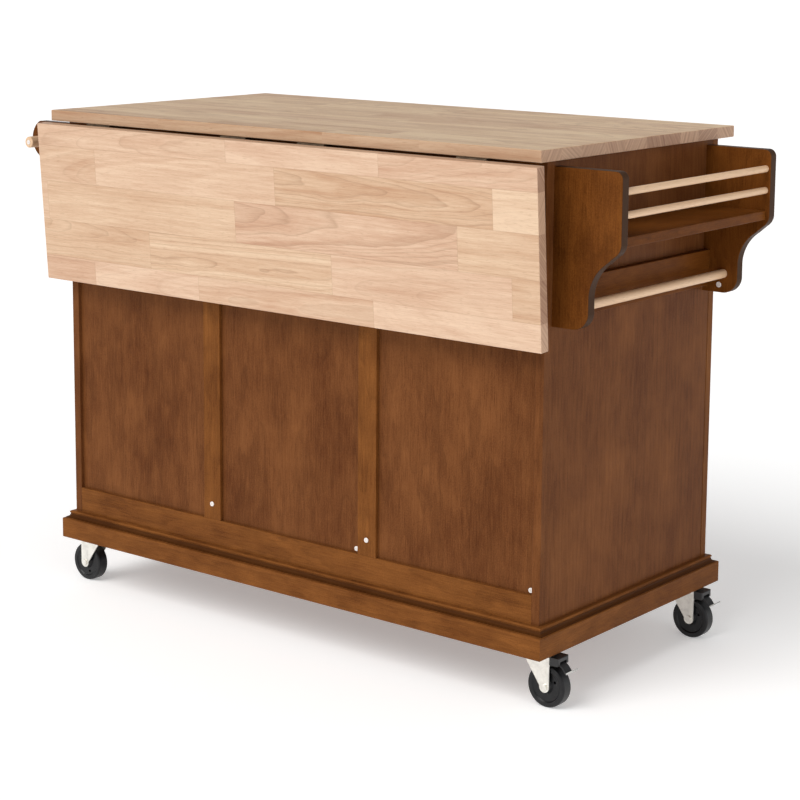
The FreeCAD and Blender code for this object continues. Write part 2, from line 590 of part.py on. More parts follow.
def make_towel_bar():
    bar_r = 10.8
    end_r = 29.0

    def at(out, z):
        return Vec(HALF_L + out, 0, z)

    centre = at(TOWEL_BAR_OUT, TOWEL_BAR_Z)
    nose_top = at(TOWEL_BAR_OUT + 8.0, RACK_TOP)
    nose_low = at(TOWEL_BAR_OUT + 8.5, TOWEL_BAR_Z - 30.0)
    foot = at(0, 770.0)
    outline = [Part.makeLine(at(0, RACK_TOP), nose_top),
               Part.Arc(nose_top, at(TOWEL_BAR_OUT + end_r, TOWEL_BAR_Z), nose_low).toShape(),
               Part.Arc(nose_low, at(64.0, 806.0), foot).toShape(),
               Part.makeLine(foot, at(0, RACK_TOP))]
    plate = Part.Face(Part.Wire(outline)).extrude(Y_AXIS * BRACKET_THICK)
    plate = plate.makeChamfer(1.0, outer_edges(plate, HALF_L + 1.0, 1.0))
    plate = plate.cut(rod(centre - Y_AXIS, centre + Y_AXIS * (BRACKET_THICK + 1), bar_r))
    plates = []
    for y in (BRACKET_OUT_Y - BRACKET_THICK, -BRACKET_OUT_Y):
        placed = plate.copy()
        placed.translate(Y_AXIS * y)
        plates.append(placed)
    save("towel_brackets", *plates)
    bar = rod(centre - Y_AXIS * TOWEL_BAR_REACH, centre + Y_AXIS * TOWEL_BAR_REACH, bar_r)
    ends = [edge for edge in bar.Edges if abs(abs(edge.CenterOfMass.y) - TOWEL_BAR_REACH) < 1]
    save("towel_bar", bar.makeFillet(1.5, ends))


# ---------------------------------------------------------------- casters
CROWN_TOP = PLINTH_BOTTOM - 3.3
CROWN_THICK = 4.6
CROWN_R = 28.0
LEG_IN = WHEEL_WIDTH / 2 + 2.3
LEG_THICK = 2.2
LEG_END_R = 9.5
AXLE_R = 4.0
PEDAL_OUT = 17.0
PEDAL_Z = 82.0
PEDAL_PIN_R = 2.0
PEDAL_HALF = 9.0


def caster_leg(y):
    """Tapered fork leg in the plane at y; x runs out from the axle towards the cart's end."""
    crown_low = CROWN_TOP - CROWN_THICK / 2
    head = CASTER_TRAIL + 20.0
    neck = 13.0
    taper = 1.5
    outline = [Vec(LEG_END_R, y, crown_low), Vec(LEG_END_R, y, WHEEL_R),
               Vec(-LEG_END_R, y, WHEEL_R + taper), Vec(-head, y, crown_low - neck),
               Vec(-head, y, crown_low)]
    rounded = rod(Vec(0, y, WHEEL_R), Vec(0, y + LEG_THICK, WHEEL_R), LEG_END_R)
    return fuse([extrude(outline, Vec(0, LEG_THICK, 0)), rounded])


def brake_housing():
    """Cover over the brake lever's pivot: a web beyond the crown and two cheeks below it."""
    crown_low = CROWN_TOP - CROWN_THICK
    near = LEG_END_R + 0.4
    far = PEDAL_OUT + 10.0
    cheek_low = PEDAL_Z - 5.5
    reach = LEG_IN + LEG_THICK
    shell = box(near, far, -reach, reach, cheek_low, CROWN_TOP - 1.0)
    edges = [edge for edge in shell.Edges if edge.CenterOfMass.x > far - 0.1]
    shell = shell.makeFillet(2.0, edges)
    inside = box(near - 1.0, far - 2.0, -LEG_IN, LEG_IN, cheek_low - 3.0, crown_low)
    mouth = box(far - 3.0, far + 1.0, -PEDAL_HALF - 0.8, PEDAL_HALF + 0.8, cheek_low - 3.0, PEDAL_Z + 1.5)
    return shell.cut(inside).cut(mouth)


def caster_fork(lockable):
    """Fork about the axle line x = 0, y = 0; the swivel axis is at x = -CASTER_TRAIL."""
    crown = rod(Vec(-CASTER_TRAIL, 0, CROWN_TOP - CROWN_THICK), Vec(-CASTER_TRAIL, 0, CROWN_TOP), CROWN_R)
    reach = LEG_IN + LEG_THICK
    shapes = [crown, caster_leg(LEG_IN), caster_leg(-reach)]
    if lockable:
        shapes.append(brake_housing())
        pin_in = LEG_IN + LEG_THICK / 2
        shapes.append(rod(Vec(PEDAL_OUT, -pin_in, PEDAL_Z), Vec(PEDAL_OUT, pin_in, PEDAL_Z), PEDAL_PIN_R))
    fork = fuse(shapes)
    kingpin = rod(Vec(-CASTER_TRAIL, 0, 0), Vec(-CASTER_TRAIL, 0, HEIGHT), AXLE_R + 0.06)
    fork = fork.cut(kingpin)
    fork = fork.cut(rod(Vec(0, -reach - 1, WHEEL_R), Vec(0, reach + 1, WHEEL_R), AXLE_R))
    axle = rod(Vec(0, -reach, WHEEL_R), Vec(0, reach, WHEEL_R), AXLE_R)
    heads = [Part.makeCylinder(5.6, 2.6, Vec(0, reach, WHEEL_R), Y_AXIS),
             Part.makeCylinder(5.6, 2.6, Vec(0, -reach, WHEEL_R), Y_AXIS * -1)]
    return fork, fuse([axle] + heads)


def caster_wheel():
    """Rubber wheel with a dished web, a hub and one through hole."""
    half = WHEEL_WIDTH / 2
    rim = 3.5
    dish_out = 28.0
    dish_in = 13.0
    depth = 2.0
    bore = AXLE_R + 0.06
    hub = LEG_IN - 0.4
    right = [(bore, hub), (11.0, hub), (dish_in, half - depth), (dish_out - 2.0, half - depth),
             (dish_out, half)]
    profile = [Vec(r, y, 0) for r, y in right]
    profile.append(Vec(WHEEL_R - rim, half, 0))
    edges = [Part.makeLine(a, b) for a, b in zip(profile[:-1], profile[1:])]
    mid = WHEEL_R - rim * (1 - math.cos(math.radians(45)))
    high = half - rim * (1 - math.sin(math.radians(45)))
    edges.append(Part.Arc(profile[-1], Vec(mid, high, 0), Vec(WHEEL_R, half - rim, 0)).toShape())
    edges.append(Part.makeLine(Vec(WHEEL_R, half - rim, 0), Vec(WHEEL_R, 0, 0)))
    edges.append(Part.makeLine(Vec(WHEEL_R, 0, 0), Vec(bore, 0, 0)))
    edges.append(Part.makeLine(Vec(bore, 0, 0), profile[0]))
    half_wheel = Part.Face(Part.Wire(edges)).revolve(Vec(0, 0, 0), Y_AXIS, 360)
    wheel = fuse([half_wheel, half_wheel.mirror(Vec(0, 0, 0), Y_AXIS)])
    hole_at = 19.5
    wheel = wheel.cut(rod(Vec(hole_at, -20, 0), Vec(hole_at, 20, 0), 2.6))
    wheel.translate(Vec(0, 0, WHEEL_R))
    return wheel


def brake_pedal():
    """Bent lever on the fork's outboard side, ending in a foot tab."""
    half = PEDAL_HALF
    width = Vec(0, 2 * half, 0)
    bend = [(PEDAL_OUT, PEDAL_Z), (31.0, 74.0), (38.0, 65.0), (50.0, 73.0)]
    thick = 2.4
    shapes = [rod(Vec(PEDAL_OUT, -half, PEDAL_Z), Vec(PEDAL_OUT, half, PEDAL_Z), 4.2)]
    for (x0, z0), (x1, z1) in zip(bend[:-1], bend[1:]):
        run = Vec(x1 - x0, 0, z1 - z0)
        side = run.cross(Y_AXIS).normalize() * (thick / 2)
        start = Vec(x0, -half, z0)
        shapes.append(extrude([start - side, start + side, start + side + run, start - side + run], width))
        shapes.append(rod(Vec(x1, -half, z1), Vec(x1, half, z1), thick / 2))
    lever = fuse(shapes)
    return lever.cut(rod(Vec(PEDAL_OUT, -20, PEDAL_Z), Vec(PEDAL_OUT, 20, PEDAL_Z), PEDAL_PIN_R + 0.05))


def make_casters():
    stems = []
    wheel_turns = {("front", -1): -29.0, ("rear", -1): -29.0, ("front", 1): 110.0, ("rear", 1): 110.0}
    for end_name, end in (("left", -1), ("right", 1)):
        for row_name, row in (("front", -1), ("rear", 1)):
            lockable = end < 0
            axle_at = Vec(end * (CASTER_X + CASTER_TRAIL), row * CASTER_Y, 0)

            def place(shape):
                put = shape.copy() if end > 0 else mirror_x(shape)
                put.translate(axle_at)
                return put
            fork, axle = caster_fork(lockable)
            wheel = caster_wheel()
            wheel.rotate(Vec(0, 0, WHEEL_R), Y_AXIS, wheel_turns[(row_name, end)])
            name = row_name + "_" + end_name
            save("caster_fork_" + name, place(fork), place(axle))
            save("caster_wheel_" + name, place(wheel))
            if lockable:
                save("brake_pedal_" + name, place(brake_pedal()))
            stem_at = Vec(end * CASTER_X, row * CASTER_Y, 0)
            low = CROWN_TOP - CROWN_THICK
            pieces = [(7.5, low - 2.3, low - 0.3), (AXLE_R, low - 1.0, PLINTH_BOTTOM - 1.0),
                      (18.0, PLINTH_BOTTOM - 3.0, PLINTH_BOTTOM), (5.0, PLINTH_BOTTOM - 1.0, PLINTH_TOP - 6.0)]
            discs = [rod(stem_at + Z_AXIS * z0, stem_at + Z_AXIS * z1, r) for r, z0, z1 in pieces]
            stems.append(fuse(discs))
    save("caster_stems", *stems)


os.makedirs("parts", exist_ok=True)
make_worktop()
make_carcass()
make_face_frame()
make_back()
make_base()
make_shelves()
make_drawers()
make_doors()
make_leaf()
make_props()
make_rack()
make_towel_bar()
make_casters()
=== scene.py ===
"""Kitchen island cart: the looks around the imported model. Metres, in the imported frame's axes."""
import math
import random

import bpy
from mathutils import Matrix, Vector


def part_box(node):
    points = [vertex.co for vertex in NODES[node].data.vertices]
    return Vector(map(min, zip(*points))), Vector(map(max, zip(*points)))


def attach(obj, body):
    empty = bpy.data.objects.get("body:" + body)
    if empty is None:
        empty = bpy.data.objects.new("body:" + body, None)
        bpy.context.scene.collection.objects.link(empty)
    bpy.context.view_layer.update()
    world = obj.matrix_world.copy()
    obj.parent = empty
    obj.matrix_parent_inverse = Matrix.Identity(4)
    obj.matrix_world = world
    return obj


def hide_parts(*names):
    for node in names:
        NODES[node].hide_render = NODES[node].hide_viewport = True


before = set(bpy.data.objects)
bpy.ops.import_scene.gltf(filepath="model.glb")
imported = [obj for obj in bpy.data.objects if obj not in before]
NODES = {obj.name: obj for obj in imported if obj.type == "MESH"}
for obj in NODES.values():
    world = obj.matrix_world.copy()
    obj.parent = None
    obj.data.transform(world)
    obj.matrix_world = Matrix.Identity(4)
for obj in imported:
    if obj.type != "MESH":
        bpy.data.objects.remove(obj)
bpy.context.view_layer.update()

MM = 0.001
PER_METRE = 1000.0


# ---------------------------------------------------------------- shader graph helper
class Graph:
    """Short calls for building a material's node tree."""

    def __init__(self, name):
        self.material = bpy.data.materials.new(name)
        self.material.use_nodes = True
        self.tree = self.material.node_tree
        self.shader = self.tree.nodes["Principled BSDF"]

    def node(self, kind, **settings):
        made = self.tree.nodes.new(kind)
        for key, value in settings.items():
            setattr(made, key, value)
        return made

    def put(self, socket, value):
        if isinstance(value, bpy.types.NodeSocket):
            self.tree.links.new(value, socket)
        else:
            socket.default_value = value

    def math(self, operation, *values, clamp=False):
        made = self.node("ShaderNodeMath", operation=operation, use_clamp=clamp)
        for socket, value in zip(made.inputs, values):
            self.put(socket, value)
        return made.outputs[0]

    def add(self, *values):
        total = values[0]
        for value in values[1:]:
            total = self.math("ADD", total, value)
        return total

    def times(self, *values):
        total = values[0]
        for value in values[1:]:
            total = self.math("MULTIPLY", total, value)
        return total

    def scale_offset(self, value, scale, offset):
        return self.math("MULTIPLY_ADD", value, scale, offset)

    def remap(self, value, low, high, to_low=0.0, to_high=1.0, smooth=False):
        made = self.node("ShaderNodeMapRange")
        made.interpolation_type = "SMOOTHSTEP" if smooth else "LINEAR"
        for socket, item in zip(made.inputs, (value, low, high, to_low, to_high)):
            self.put(socket, item)
        return made.outputs[0]

    def combine(self, x, y, z):
        made = self.node("ShaderNodeCombineXYZ")
        for socket, value in zip(made.inputs, (x, y, z)):
            self.put(socket, value)
        return made.outputs[0]

    def separate(self, vector):
        made = self.node("ShaderNodeSeparateXYZ")
        self.put(made.inputs[0], vector)
        return list(made.outputs)

    def mapping(self, vector, location=(0, 0, 0), rotation=(0, 0, 0), scale=(1, 1, 1)):
        made = self.node("ShaderNodeMapping")
        for socket, value in zip(made.inputs, (vector, location, rotation, scale)):
            self.put(socket, value)
        return made.outputs[0]

    def noise(self, vector, scale=1.0, detail=2.0, roughness=0.5):
        made = self.node("ShaderNodeTexNoise")
        self.put(made.inputs["Vector"], vector)
        self.put(made.inputs["Scale"], scale)
        self.put(made.inputs["Detail"], detail)
        self.put(made.inputs["Roughness"], roughness)
        return made.outputs["Fac"]

    def noise_line(self, value, scale=1.0, detail=2.0):
        made = self.node("ShaderNodeTexNoise", noise_dimensions="1D")
        self.put(made.inputs["W"], value)
        self.put(made.inputs["Scale"], scale)
        self.put(made.inputs["Detail"], detail)
        return made.outputs["Fac"]

    def chance(self, value):
        """Three random values from 0 to 1 that belong to a number."""
        made = self.node("ShaderNodeTexWhiteNoise", noise_dimensions="1D")
        self.put(made.inputs["W"], value)
        return self.separate(made.outputs["Color"])

    def mix(self, factor, first, second, blend="MIX"):
        made = self.node("ShaderNodeMix", data_type="RGBA", blend_type=blend)
        self.put(made.inputs["Factor"], factor)
        for socket, value in ((made.inputs[6], first), (made.inputs[7], second)):
            self.put(socket, value if isinstance(value, bpy.types.NodeSocket) else (*value, 1.0))
        return made.outputs[2]

    def weigh(self, offset, *parts):
        """The offset plus each part's value times its weight, kept from 0 to 1."""
        total = self.add(*(self.times(value, weight) for value, weight in parts), offset)
        return self.math("ADD", total, 0.0, clamp=True)

    def place(self, kind="Object"):
        return self.node("ShaderNodeTexCoord").outputs[kind]

    def millimetres(self):
        return self.mapping(self.place(), scale=(PER_METRE, PER_METRE, PER_METRE))

    def attribute(self, name):
        return self.node("ShaderNodeAttribute", attribute_name=name).outputs["Vector"]

    def bump(self, height, strength, distance):
        made = self.node("ShaderNodeBump")
        self.put(made.inputs["Strength"], strength)
        self.put(made.inputs["Distance"], distance)
        self.put(made.inputs["Height"], height)
        self.put(self.shader.inputs["Normal"], made.outputs[0])

    def finish(self, **inputs):
        for key, value in inputs.items():
            name = key.replace("_", " ")
            if name == "Base Color" and not isinstance(value, bpy.types.NodeSocket):
                value = (*value, 1.0)
            self.put(self.shader.inputs[name], value)
        return self.material


# ---------------------------------------------------------------- wood
WOOD_PALE, WOOD_PALE_PINK = (0.75, 0.550, 0.375), (0.75, 0.535, 0.380)
WOOD_TAN, WOOD_TAN_PINK = (0.50, 0.282, 0.160), (0.50, 0.270, 0.165)
WOOD_LINE = (0.30, 0.155, 0.080)
END_PALE, END_DARK = (0.58, 0.370, 0.245), (0.23, 0.105, 0.065)
TOP_PAINTED_SHADE, SIDE_PAINTED_SHADE = (0.97, 0.94, 0.81), (1.0, 0.985, 0.96)    # painted shade on the worktop, by which way a face points: level faces, upright faces
# no painted shade, for the leaf
NO_PAINTED_SHADE = (1.0, 1.0, 1.0)
# Each stain: dark tone, light tone, strength of the rings, spacing of the rings in millimetres.
PANEL_STAIN = ((0.078, 0.022, 0.006), (0.250, 0.094, 0.030), 0.22, 11.0)
FRAME_STAIN = ((0.092, 0.027, 0.006), (0.305, 0.113, 0.027), 0.25, 8.0)
BRACKET_STAIN = ((0.072, 0.019, 0.003), (0.235, 0.078, 0.014), 0.25, 8.0)
BRACKET_EDGE = (0.055, 0.026, 0.013)
INNER_DARK, INNER_LIGHT = (0.36, 0.22, 0.12), (0.56, 0.39, 0.24)
DOWEL_DARK, DOWEL_LIGHT = (0.60, 0.37, 0.21), (0.84, 0.58, 0.37)
MOULDING_HOLLOW = (132.6, 140.4)      # height range of the base moulding's hollow, in millimetres, that is drawn darker
VENEER_WIDTH = 260.0                  # width of one sheet of veneer; its figure is folded at the middle
SHEET_SHIFT = 5000.0                  # keeps the numbers of the sheets above zero
JOINT_REACH, JOINT_DARKNESS = (0.10, 0.60), 0.34                # distance from a block's edge
DEEP_STAIN, DEEP_SEALED = 0.42, 0.40  # the colour of pores and rings as a part of the dark tone
GRAIN_RELIEF = 0.0003                 # metres


def stretched(g, board, lengthwise, crosswise):
    """Coordinates for noise that is drawn out along the board."""
    along, across, through = board
    return g.combine(g.times(along, lengthwise), g.times(across, crosswise), g.times(through, crosswise))


def ring_radius(g, board, centre, slope, wander):
    """Distance from a tree's pith that is nearly parallel to the board, in millimetres."""
    along, across, through = board
    flow = g.noise(stretched(g, board, 0.006, 0.022), 1.0, 2.0)
    shift = g.scale_offset(flow, wander, -wander / 2)
    side = g.add(across, g.times(along, slope[0]), centre[0], shift)
    depth = g.add(through, g.times(along, slope[1]), centre[1], shift)
    return g.math("SQRT", g.add(g.times(side, side), g.times(depth, depth)))


def ring_line(g, phase, sharpness, fade_from):
    """A line that darkens slowly up to the end of each ring and then stops, 0 to 1."""
    saw = g.math("FRACT", phase)
    return g.times(g.math("POWER", saw, sharpness), g.remap(saw, fade_from, 1.0, 1.0, 0.0, smooth=True))


def fibres(g, board, fine, coarse):
    """Fine and coarse streaks that run along the board; fine and coarse are per millimetre across."""
    thin = g.noise(stretched(g, board, 0.025, fine), 1.0, 3.0, 0.6)
    wide = g.noise(stretched(g, board, 0.006, coarse), 1.0, 2.0, 0.5)
    return thin, wide


def pores(g, board):
    """Short dark dashes of the open grain, 0 to 1."""
    dashes = g.noise(stretched(g, board, 0.07, 1.1), 1.0, 2.0, 0.5)
    return g.remap(dashes, 0.58, 0.72, 0.0, 1.0, smooth=True)


def glue_joint(g, dx, dy):
    """Darkness of the joint around a block, from the distances to the block's centre."""
    half_along, half_across, _ = g.separate(g.attribute("block_half"))
    edge = g.math("MINIMUM", g.math("SUBTRACT", half_along, g.math("ABSOLUTE", dx)),
                  g.math("SUBTRACT", half_across, g.math("ABSOLUTE", dy)))
    return g.remap(edge, *JOINT_REACH, JOINT_DARKNESS, 0.0, smooth=True)


def sawn_end(g, tone, slant):
    """Colour of a block's end grain, with rings that lie across slant."""
    rings = g.remap(g.noise_line(slant, 0.30, 3.0), 0.3, 0.7)
    return g.mix(g.weigh(-0.25, (tone, 0.80), (rings, 0.55)), END_PALE, END_DARK)


def rubberwood(name, rotation, location, top_painted_shade, side_painted_shade, broad):
    """Lacquered edge-glued blocks. Each face of the mesh knows its block's centre, size, seed and tone.

    broad is the strength of the streaks that are several centimetres wide.
    """
    g = Graph(name)
    turned = g.mapping(g.mapping(g.place(), location), rotation=rotation,
                       scale=(PER_METRE, PER_METRE, PER_METRE))
    along, across, through = g.separate(turned)
    mid_along, mid_across, seed = g.separate(g.attribute("block_place"))
    tone, figure, pink = g.separate(g.attribute("block_look"))
    dx = g.math("SUBTRACT", along, mid_along)
    dy = g.math("SUBTRACT", across, mid_across)
    one = g.chance(seed)
    two = g.chance(g.scale_offset(seed, 7.31, 3.7))
    shifted = g.times(seed, 733.0)
    board = (g.add(dx, shifted), dy, through)

    centre = (g.scale_offset(one[0], 60.0, -30.0), g.scale_offset(one[1], 45.0, 8.0))
    slope = (g.scale_offset(one[2], 0.10, -0.05), g.scale_offset(two[0], 0.22, -0.11))
    radius = ring_radius(g, (dx, dy, through), centre, slope, 16.0)
    own_radius = g.add(radius, shifted)
    phase = g.math("DIVIDE", radius, g.scale_offset(two[1], 5.0, 5.0))
    phase = g.add(phase, g.times(g.noise_line(own_radius, 0.05), 3.0))
    line = ring_line(g, phase, 6.0, 0.93)
    band = g.remap(g.noise_line(own_radius, 0.085, 3.0), 0.3, 0.7)

    fine, coarse = fibres(g, board, 0.85, 0.16)
    fine = g.remap(fine, 0.32, 0.68)
    coarse = g.remap(coarse, 0.30, 0.70)
    wide = g.remap(g.noise(stretched(g, board, 0.004, 0.05), 1.0, 2.0), 0.32, 0.68)
    dash = pores(g, board)
    depth = g.weigh(-0.43 - broad / 2, (tone, 0.62), (band, 0.34), (coarse, 0.30), (fine, 0.42),
                    (wide, broad))
    joint = glue_joint(g, dx, dy)

    colour = g.mix(depth, g.mix(pink, WOOD_PALE, WOOD_PALE_PINK), g.mix(pink, WOOD_TAN, WOOD_TAN_PINK))
    colour = g.mix(g.times(line, figure, 0.55), colour, WOOD_LINE)
    colour = g.mix(g.times(dash, 0.34), colour, WOOD_LINE)
    colour = g.mix(joint, colour, WOOD_LINE)
    facing = g.separate(g.place("Normal"))
    # painted shade: level faces are tinted darker and yellower than upright ones, standing in for the
    # light that falls on the top
    facing_painted_shade = g.mix(g.remap(facing[2], 0.3, 0.9), side_painted_shade, top_painted_shade)
    colour = g.mix(1.0, colour, facing_painted_shade, "MULTIPLY")
    end = g.remap(g.math("ABSOLUTE", facing[0]), 0.6, 0.9)
    slant = g.add(g.times(dy, 0.55), g.times(through, g.scale_offset(one[0], 1.8, -0.9)), shifted)
    colour = g.mix(g.times(end, 0.85), colour, sawn_end(g, tone, slant))

    gloss = g.add(g.times(fine, 0.08), g.times(dash, 0.12), g.times(end, 0.12), 0.36)
    height = g.add(g.times(fine, 0.2), g.times(dash, -0.6), g.times(joint, -0.9))
    g.bump(height, 0.22, GRAIN_RELIEF)
    return g.finish(Base_Color=colour, Roughness=gloss, Specular_IOR_Level=0.30)


def grain_axes(g, axis):
    """Along, across and through coordinates in millimetres for grain along that axis.

    The axis xy is for boards around the cart: their grain is level on each side.
    """
    x, y, z = g.separate(g.millimetres())
    if axis == "z":
        return z, x, y
    if axis == "x":
        return x, z, y
    if axis == "y":
        return y, z, x
    side = g.math("GREATER_THAN", g.math("ABSOLUTE", g.separate(g.place("Normal"))[0]), 0.7)
    return g.add(g.times(side, y), g.times(g.math("SUBTRACT", 1.0, side), x)), z, g.times(side, x)


def in_hollow(g, hollow):
    """1 within a range of heights in millimetres, with soft ends, else 0."""
    height = g.separate(g.millimetres())[2]
    low = g.remap(height, hollow[0] - 0.4, hollow[0] + 0.4)
    high = g.remap(height, hollow[1] - 0.6, hollow[1] + 0.6, 1.0, 0.0)
    return g.times(low, high)


def stained_wood(name, axis, dark, light, figure, ring, edge=None, hollow=None):
    """Brown stain and satin lacquer over wood whose grain runs along one axis.

    figure is the strength of the growth rings and ring their spacing in millimetres; edge is the
    colour of the sawn faces that do not look along Y; hollow is a height range in millimetres that
    is drawn darker.
    """
    g = Graph(name)
    board = grain_axes(g, axis)
    along, across, through = board
    half_sheet = VENEER_WIDTH / 2
    one = g.chance(g.math("FLOOR", g.math("DIVIDE", g.add(across, SHEET_SHIFT), VENEER_WIDTH)))
    fold = g.math("PINGPONG", g.add(across, g.times(one[0], half_sheet)), half_sheet)
    centre = (g.scale_offset(one[2], 40.0, -80.0), 42.0)
    slope = (0.012, g.scale_offset(one[1], 0.12, -0.06))
    radius = ring_radius(g, (along, fold, through), centre, slope, 30.0)
    line = ring_line(g, g.math("DIVIDE", radius, ring), 3.0, 0.9)

    fine, coarse = fibres(g, board, 0.55, 0.10)
    fine = g.remap(fine, 0.32, 0.68)
    dash = pores(g, board)
    cloud = g.remap(g.noise(stretched(g, board, 0.006, 0.010), 1.0, 3.0), 0.28, 0.72)
    blot = g.remap(g.noise(stretched(g, board, 0.020, 0.032), 1.0, 2.0), 0.34, 0.72)
    grit = g.remap(g.noise(g.combine(*board), 0.42, 2.0, 0.7), 0.3, 0.7)
    depth = g.weigh(-0.21, (cloud, 0.42), (blot, 0.18), (coarse, 0.18), (fine, 0.26), (grit, 0.26))

    deep = tuple(c * DEEP_STAIN for c in dark)
    colour = g.mix(depth, dark, light)
    colour = g.mix(g.times(line, figure), colour, deep)
    colour = g.mix(g.times(dash, 0.35), colour, deep)
    if hollow:
        # the colour within the hollow's heights is drawn darker
        colour = g.mix(g.times(in_hollow(g, hollow), 0.75), colour, deep)
    if edge:
        flat = g.math("ABSOLUTE", g.separate(g.place("Normal"))[1])
        colour = g.mix(g.remap(flat, 0.45, 0.75, 1.0, 0.0), colour, edge)
    rough = g.add(g.times(fine, 0.08), g.times(cloud, 0.08), 0.28)
    g.bump(g.add(g.times(fine, 0.25), g.times(dash, -0.7)), 0.25, GRAIN_RELIEF)
    return g.finish(Base_Color=colour, Roughness=rough, Specular_IOR_Level=0.04)


def plain_wood(name, axis, dark, light):
    """Sealed dowel or plywood with straight grain."""
    g = Graph(name)
    board = grain_axes(g, axis)
    fine, coarse = fibres(g, board, 1.1, 0.20)
    dash = pores(g, board)
    colour = g.mix(g.weigh(-0.25, (coarse, 0.9), (fine, 0.45)), light, dark)
    colour = g.mix(g.times(dash, 0.3), colour, tuple(c * DEEP_SEALED for c in dark))
    g.bump(g.add(g.times(fine, 0.4), g.times(dash, -0.7)), 0.25, GRAIN_RELIEF)
    return g.finish(Base_Color=colour, Roughness=g.scale_offset(fine, 0.14, 0.36))


# ---------------------------------------------------------------- metal, rubber, plastic
PAINT_BLACK, TAB_GREY = (0.012, 0.012, 0.013), (0.50, 0.50, 0.48)
ZINC_NEW, ZINC_WORN = (0.88, 0.86, 0.80), (0.70, 0.68, 0.63)
NICKEL_NEW, NICKEL_WORN = (0.92, 0.87, 0.84), (0.75, 0.71, 0.68)
BRONZE_NEW, BRONZE_WORN = (0.10, 0.072, 0.05), (0.21, 0.15, 0.10)
RUBBER_NEW, RUBBER_WORN = (0.003, 0.003, 0.004), (0.013, 0.013, 0.014)
PEDAL_NEW, PEDAL_WORN = (0.010, 0.010, 0.011), (0.026, 0.026, 0.027)
AXLE_X = 549.0                        # the wheels' axles at rest from the cart's middle, in millimetres
FORK_PAINT_FROM = AXLE_X + 9.7        # the locking casters' forks are black from here outboard
PEDAL_TAB_FROM = AXLE_X + 38.5        # and their pedals end in a grey tab
METAL_RELIEF = 0.0002                 # metres
RUBBER_RELIEF = 0.0003


def beyond(g, reach):
    """1 where the part lies further outboard than reach millimetres, else 0."""
    out = g.math("ABSOLUTE", g.separate(g.place())[0])
    return g.math("GREATER_THAN", out, reach * MM)


def plated(name, base, worn, rough, metal=1.0, painted_from=None):
    """Plated steel with faint rubbing and cloudy gloss; black paint from painted_from outboard."""
    g = Graph(name)
    point = g.millimetres()
    cloud = g.noise(point, 0.09, 3.0, 0.6)
    grit = g.noise(point, 1.6, 2.0, 0.6)
    colour = g.mix(g.remap(cloud, 0.4, 0.75), base, worn)
    gloss = g.add(g.times(cloud, 0.16), g.times(grit, 0.10), rough - 0.13)
    g.bump(grit, 0.10, METAL_RELIEF)
    if painted_from:
        painted = beyond(g, painted_from)
        colour = g.mix(painted, colour, PAINT_BLACK)
        metal = g.scale_offset(painted, -metal, metal)
    return g.finish(Base_Color=colour, Roughness=gloss, Metallic=metal)


def moulded(name, base, worn, rough, tab_from=None):
    """Hard rubber or plastic with a fine texture and a little dust; a grey tab from tab_from outboard."""
    g = Graph(name)
    point = g.millimetres()
    cloud = g.noise(point, 0.06, 4.0, 0.6)
    grit = g.noise(point, 1.2, 3.0, 0.6)
    colour = g.mix(g.remap(g.add(cloud, g.times(grit, 0.3)), 0.55, 0.95), base, worn)
    if tab_from:
        colour = g.mix(beyond(g, tab_from), colour, TAB_GREY)
    gloss = g.add(g.times(cloud, 0.2), g.times(grit, 0.1), rough - 0.15)
    g.bump(grit, 0.18, RUBBER_RELIEF)
    return g.finish(Base_Color=colour, Roughness=gloss, Specular_IOR_Level=0.35)


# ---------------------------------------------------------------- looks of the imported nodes
PANEL_Z = stained_wood("panel_upright", "z", *PANEL_STAIN)
PANEL_X = stained_wood("panel_level", "x", *PANEL_STAIN)
FRAME_Z = stained_wood("frame_upright", "z", *FRAME_STAIN)
FRAME_X = stained_wood("frame_level", "x", *FRAME_STAIN)
FRAME_XY = stained_wood("frame_around", "xy", *FRAME_STAIN)
MOULDING = stained_wood("moulding_around", "xy", *FRAME_STAIN, hollow=MOULDING_HOLLOW)
BRACKET = stained_wood("bracket_board", "z", *BRACKET_STAIN, edge=BRACKET_EDGE)
SHELF = stained_wood("shelf_board", "y", *BRACKET_STAIN)
DOWEL = plain_wood("dowel_grain", "y", DOWEL_DARK, DOWEL_LIGHT)
INNER = plain_wood("inner_grain", "x", INNER_DARK, INNER_LIGHT)
ZINC = plated("zinc_plate", ZINC_NEW, ZINC_WORN, 0.34, 0.85)
COVERED_ZINC = plated("covered_zinc_plate", ZINC_NEW, ZINC_WORN, 0.34, 0.85, painted_from=FORK_PAINT_FROM)
NICKEL = plated("nickel_screw", NICKEL_NEW, NICKEL_WORN, 0.42, 0.25)
BRONZE = plated("bronze_plate", BRONZE_NEW, BRONZE_WORN, 0.36)
BLACK = moulded("black_rubber", RUBBER_NEW, RUBBER_WORN, 0.36)
PEDAL = moulded("pedal_paint", PEDAL_NEW, PEDAL_WORN, 0.40, tab_from=PEDAL_TAB_FROM)

NODE_LOOKS = {
    "back_mullions": FRAME_Z, "back_panels": PANEL_Z, "back_rails": FRAME_X, "base_moulding": MOULDING,
    "bottom_panel": PANEL_X, "corner_blocks": INNER, "face_frame": FRAME_Z, "partitions": PANEL_Z,
    "plinth_boards": FRAME_XY, "rack_back_rail": SHELF, "rack_brackets": BRACKET,
    "rack_shelf": SHELF, "rack_guard_rods": DOWEL, "rack_towel_rod": DOWEL, "towel_bar": DOWEL,
    "towel_brackets": BRACKET, "shelves": PANEL_X, "top_stretchers": INNER, "side_panel_left": PANEL_Z,
    "side_panel_right": PANEL_Z, "cap_screws": NICKEL, "caster_fork_front_left": COVERED_ZINC,
    "caster_fork_rear_left": COVERED_ZINC,
}
SLOT_LOOKS = {
    "solid_rubberwood": DOWEL, "dowel_wood": DOWEL, "brown_panel": PANEL_Z, "brown_frame": FRAME_Z,
    "inner_board": INNER, "bright_metal": ZINC, "dark_bronze": BRONZE, "wheel_rubber": BLACK,
    "black_paint": PEDAL,
}


